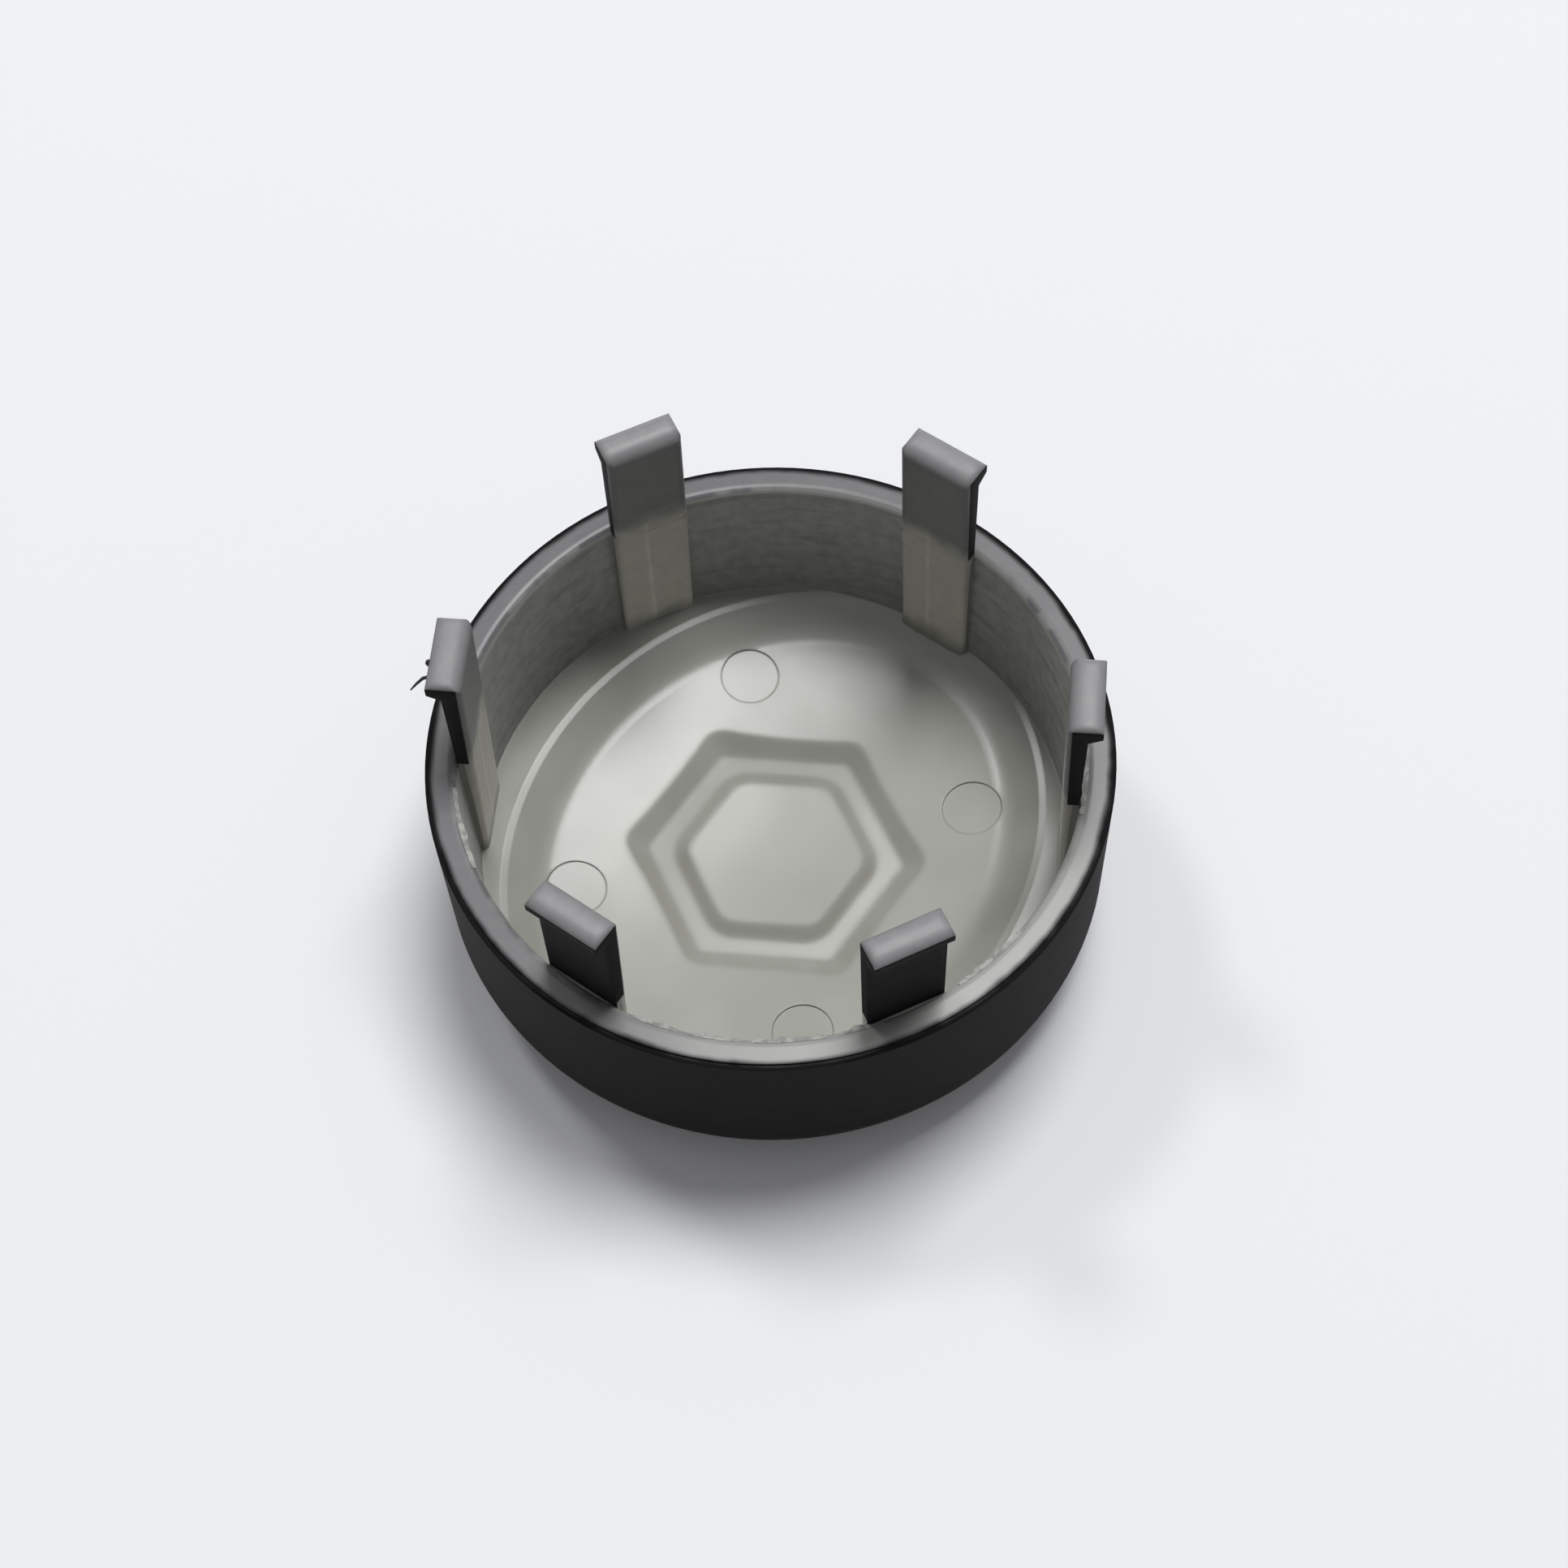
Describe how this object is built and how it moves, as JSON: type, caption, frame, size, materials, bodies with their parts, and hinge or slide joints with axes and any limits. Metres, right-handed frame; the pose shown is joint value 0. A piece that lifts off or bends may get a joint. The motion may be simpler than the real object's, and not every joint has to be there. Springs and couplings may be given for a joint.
{
  "type": "wheel centre cap",
  "caption": "Round wheel centre cap: a shallow moulded cup with a domed oval field in its face and a ring of barbed snap clips that hold it in the wheel's hub bore.",
  "frame": {"origin": "on the cap's axis, in the plane of the raised ring on the front, on which the cap lies face down", "axes": "+Z along the axis out of the open side, the way the clips enter the wheel; X along the long axis of the oval field"},
  "size_m": [0.06, 0.06, 0.0345],
  "materials": {
    "cap_plastic": "satin moulded plastic"
  },
  "bodies": {
    "root": {"centre_cap": "cap_plastic"}
  },
  "joints": []
}
